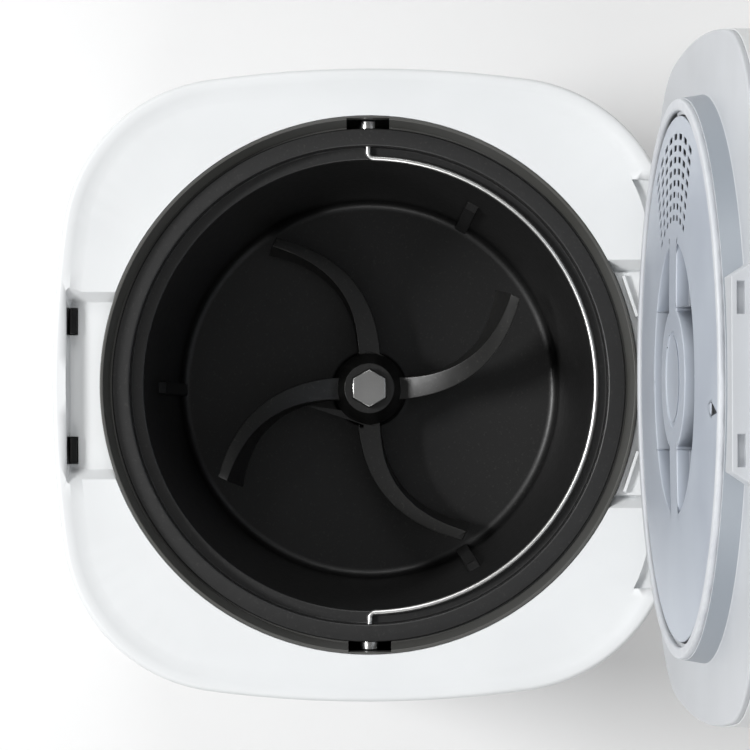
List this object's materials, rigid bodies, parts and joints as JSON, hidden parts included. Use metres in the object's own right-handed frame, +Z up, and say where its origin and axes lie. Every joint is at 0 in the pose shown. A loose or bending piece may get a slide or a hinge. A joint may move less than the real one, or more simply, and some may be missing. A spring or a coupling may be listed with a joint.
{
  "type": "electric food waste composter",
  "caption": "Countertop electric composter: rounded square body, round bucket with wire bail and turning paddles, and a hinged latching lid with a twist-off filter cover.",
  "frame": {"origin": "on the surface it stands on, under the bucket's axis", "axes": "+X to the right seen from the front, +Y towards the hinge at the back, +Z up"},
  "size_m": [0.28, 0.3217, 0.5806],
  "materials": {
    "white_shell": "satin moulded plastic",
    "grey_pan": "fine grain",
    "foot_rubber": "matt",
    "steel_screw": "zinc plated",
    "bezel_grey": "satin",
    "well_steel": "drawn",
    "heater_silicone": "moulded",
    "bright_steel": "ground",
    "insulation_felt": "felt",
    "gear_housing": "glass filled",
    "bearing_bronze": "sintered",
    "motor_steel": "zinc plated",
    "gear_steel": "sintered",
    "gear_nylon": "natural",
    "coupling_cast": "cast",
    "board_green": "solder mask",
    "part_black": "moulded",
    "trim_chrome": "bright",
    "button_grey": "satin",
    "lens_clear": "translucent",
    "latch_steel": "black oxide",
    "pin_brass": "nickel free",
    "bracket_grey": "powder coat",
    "bucket_coating": "ceramic non-stick coat",
    "seal_rubber": "matt",
    "pivot_steel": "turned",
    "bail_steel": "polished wire",
    "agitator_cast": "cast, coated",
    "liner_grey": "satin",
    "gasket_silicone": "translucent white",
    "magnet_nickel": "nickel",
    "cover_grey": "satin",
    "filter_felt": "carbon felt"
  },
  "bodies": {
    "base": {"body_shell": "white_shell", "base_pan": "grey_pan", "foot_ring": "foot_rubber", "base_screws": "steel_screw", "top_deck": "white_shell", "bezel_ring": "bezel_grey", "chamber_well": "well_steel", "well_screws": "steel_screw", "heater_band": "heater_silicone", "heater_clamp": "bright_steel", "insulation_sleeve": "insulation_felt", "temperature_sensor": "bright_steel", "gearbox_case": "gear_housing", "gearbox_cover": "gear_housing", "gearbox_screws": "steel_screw", "output_bearings": "bearing_bronze", "gear_axles": "bright_steel", "motor": "motor_steel", "control_board": "board_green", "board_screws": "steel_screw", "touch_switch": "part_black", "button_ring": "trim_chrome", "indicator_lenses": "lens_clear", "power_board": "board_green", "power_parts": "part_black", "power_inlet": "part_black", "inlet_pins": "pin_brass", "lid_switch": "part_black", "latch_spring": "bright_steel", "hinge_bracket": "bracket_grey", "hinge_pin": "bright_steel", "hinge_damper": "bracket_grey", "hinge_cover": "white_shell"},
    "lid": {"lid_shell": "white_shell", "lid_liner": "liner_grey", "lid_gasket": "gasket_silicone", "lid_magnet": "magnet_nickel", "lid_arms": "bracket_grey", "filter_cartridge": "filter_felt", "fan_frame": "part_black"},
    "lid_button": {"lid_button": "button_grey"},
    "latch": {"latch_hooks": "latch_steel"},
    "filter_cover": {"filter_cover": "cover_grey"},
    "fan_rotor": {"fan_impeller": "part_black"},
    "bucket": {"bucket": "bucket_coating", "bucket_bearing": "bearing_bronze", "shaft_seal": "seal_rubber", "bail_pivots": "pivot_steel"},
    "bail": {"bail_handle": "bail_steel"},
    "agitator": {"agitator": "agitator_cast", "agitator_shaft": "bright_steel", "agitator_nut": "pivot_steel", "driven_coupling": "coupling_cast"},
    "output": {"output_gear": "gear_steel", "output_shaft": "bright_steel", "drive_coupling": "coupling_cast"},
    "second_gear": {"second_gear": "gear_steel"},
    "first_gear": {"first_gear": "gear_nylon"},
    "motor_rotor": {"motor_pinion": "gear_steel"},
    "power_button": {"power_button": "button_grey"}
  },
  "joints": [
    {"name": "lid_hinge", "type": "hinge", "parent": "base", "child": "lid", "pos_m": [0, 0.132, 0.309], "axis": [-1, 0, 0], "range_deg": [-94, 0]},
    {"name": "lid_button_press", "type": "slide", "parent": "base", "child": "lid_button", "axis": [0, 1, 0], "range_m": [0, 0.0012], "stiffness_N_per_m": 600},
    {"name": "latch_rock", "type": "hinge", "parent": "base", "child": "latch", "pos_m": [0, -0.127, 0.282], "axis": [1, 0, 0], "range_deg": [0, 5.75]},
    {"name": "filter_cover_twist", "type": "hinge", "parent": "lid", "child": "filter_cover", "pos_m": [0, 0.12425, 0.44186], "axis": [0, 0.9976, -0.0698], "range_deg": [0, 35]},
    {"name": "fan_spin", "type": "hinge", "parent": "lid", "child": "fan_rotor", "pos_m": [0, 0.12425, 0.44186], "axis": [0, 0.9976, -0.0698], "continuous": true},
    {"name": "bucket_lift", "type": "slide", "parent": "base", "child": "bucket", "axis": [0, 0, 1], "range_m": [0, 0.2]},
    {"name": "bail_swing", "type": "hinge", "parent": "bucket", "child": "bail", "pos_m": [0, 0, 0.2854], "axis": [1, 0, 0], "range_deg": [0, 180]},
    {"name": "output_spin", "type": "hinge", "parent": "base", "child": "output", "pos_m": [0, 0, 0.08], "axis": [0, 0, 1], "continuous": true},
    {"name": "second_gear_spin", "type": "hinge", "parent": "base", "child": "second_gear", "pos_m": [-0.03947, -0.01436, 0.072], "axis": [0, 0, 1], "continuous": true},
    {"name": "first_gear_spin", "type": "hinge", "parent": "base", "child": "first_gear", "pos_m": [-0.04887, 0.01148, 0.064], "axis": [0, 0, 1], "continuous": true},
    {"name": "motor_spin", "type": "hinge", "parent": "base", "child": "motor_rotor", "pos_m": [-0.03512, 0.03529, 0.06], "axis": [0, 0, 1], "continuous": true},
    {"name": "agitator_spin", "type": "hinge", "parent": "bucket", "child": "agitator", "pos_m": [0, 0, 0.14], "axis": [0, 0, 1], "continuous": true},
    {"name": "power_button_press", "type": "slide", "parent": "base", "child": "power_button", "axis": [0, 1, 0], "range_m": [0, 0.001], "stiffness_N_per_m": 500}
  ],
  "couplings": [
    {"joint": "latch_rock", "follows": "lid_button_press", "rad_per_m": 83.333},
    {"joint": "second_gear_spin", "follows": "output_spin", "ratio": -3},
    {"joint": "first_gear_spin", "follows": "output_spin", "ratio": 8},
    {"joint": "motor_spin", "follows": "output_spin", "ratio": -21.333},
    {"joint": "agitator_spin", "follows": "output_spin", "ratio": 1}
  ]
}
